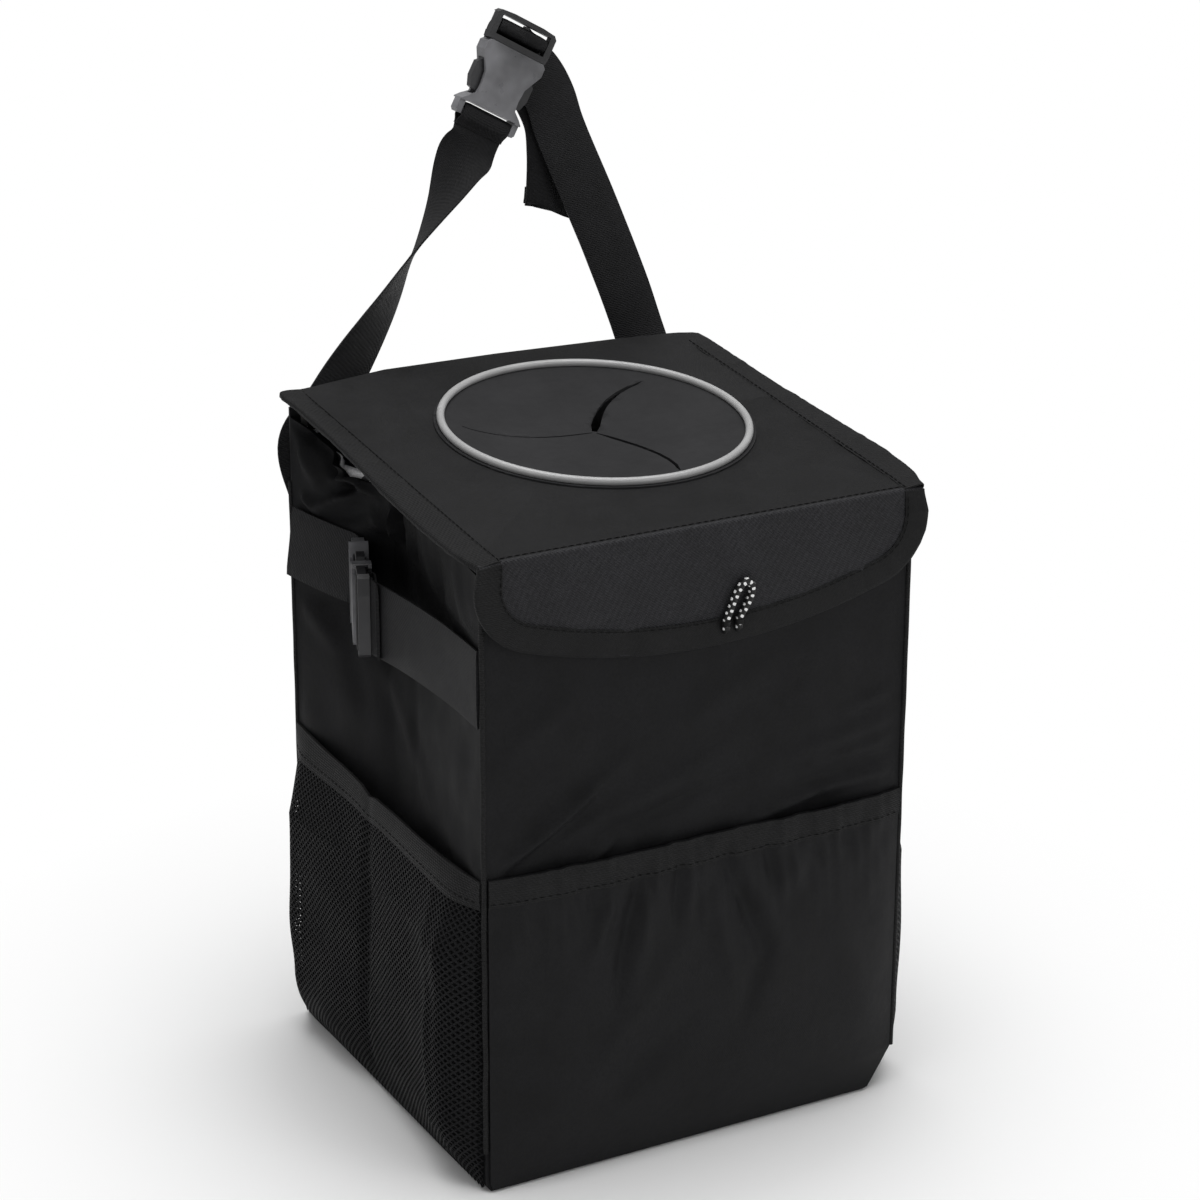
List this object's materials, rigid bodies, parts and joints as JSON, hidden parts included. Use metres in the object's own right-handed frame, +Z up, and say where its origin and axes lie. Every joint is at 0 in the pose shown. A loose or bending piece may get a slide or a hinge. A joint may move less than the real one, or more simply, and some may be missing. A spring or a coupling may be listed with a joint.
{
  "type": "hanging car trash bin",
  "caption": "Folding cloth car trash bin with a hinged lid, slit rubber inlet, pockets, side compression straps and a buckled hanging strap.",
  "frame": {"origin": "centre of the box's base, on the surface it stands on", "axes": "+X to the bin's right as seen from the front, +Y from the front to the back, +Z up"},
  "size_m": [0.2276, 0.2224, 0.4516],
  "materials": {
    "cloth": "woven black polyester",
    "twill": "dark twill",
    "tape": "woven binding tape",
    "webbing": "woven webbing",
    "mesh": "knitted mesh",
    "elastic": "round elastic",
    "board": "stiffening board",
    "liner": "coated liner",
    "hem": "pale hem tape",
    "lining": "lining cloth",
    "rubber": "soft matte rubber",
    "ring": "satin grey plastic",
    "buckle": "moulded black plastic"
  },
  "bodies": {
    "bin": {"base_panel": "cloth", "front_panel": "cloth", "back_panel": "cloth", "left_gusset": "cloth", "right_gusset": "cloth", "front_board": "board", "back_board": "board", "base_board": "board", "liner": "liner", "liner_hem": "hem", "front_rim": "tape", "back_rim": "tape", "corner_piping": "tape", "hinge_roll": "tape", "front_pocket": "cloth", "front_pocket_hem": "tape", "left_mesh_pocket": "mesh", "left_mesh_hem": "tape", "right_mesh_pocket": "mesh", "right_mesh_hem": "tape", "hanging_strap_left": "webbing", "hanging_strap_right": "webbing", "strap_shell": "buckle", "left_side_strap_rear": "webbing", "left_side_strap_front": "webbing", "left_side_shell": "buckle", "right_side_strap_rear": "webbing", "right_side_strap_front": "webbing", "right_side_shell": "buckle"},
    "lid": {"lid_cover": "cloth", "lid_board": "board", "lid_lining": "lining", "lid_flap": "twill", "lid_binding": "tape", "inlet_rubber": "rubber", "inlet_ring": "ring", "pull_loop": "elastic"},
    "strap_tongue": {"strap_tongue": "buckle"},
    "left_tongue": {"left_side_tongue": "buckle"},
    "right_tongue": {"right_side_tongue": "buckle"}
  },
  "joints": [
    {"name": "lid_hinge", "type": "hinge", "parent": "bin", "child": "lid", "pos_m": [0, 0.093, 0.29397], "axis": [-1, 0, 0], "range_deg": [0, 80]},
    {"name": "strap_buckle", "type": "slide", "parent": "bin", "child": "strap_tongue", "axis": [0.4848, 0.035, 0.8739], "range_m": [0, 0.028], "deforming": ["strap_tongue", "hanging_strap_right"]},
    {"name": "left_buckle", "type": "slide", "parent": "bin", "child": "left_tongue", "axis": [-0.3746, -0.9272, 0], "range_m": [0, 0.028], "deforming": ["left_side_tongue", "left_side_strap_front"]},
    {"name": "right_buckle", "type": "slide", "parent": "bin", "child": "right_tongue", "axis": [0.3746, -0.9272, 0], "range_m": [0, 0.028], "deforming": ["right_side_tongue", "right_side_strap_front"]}
  ]
}
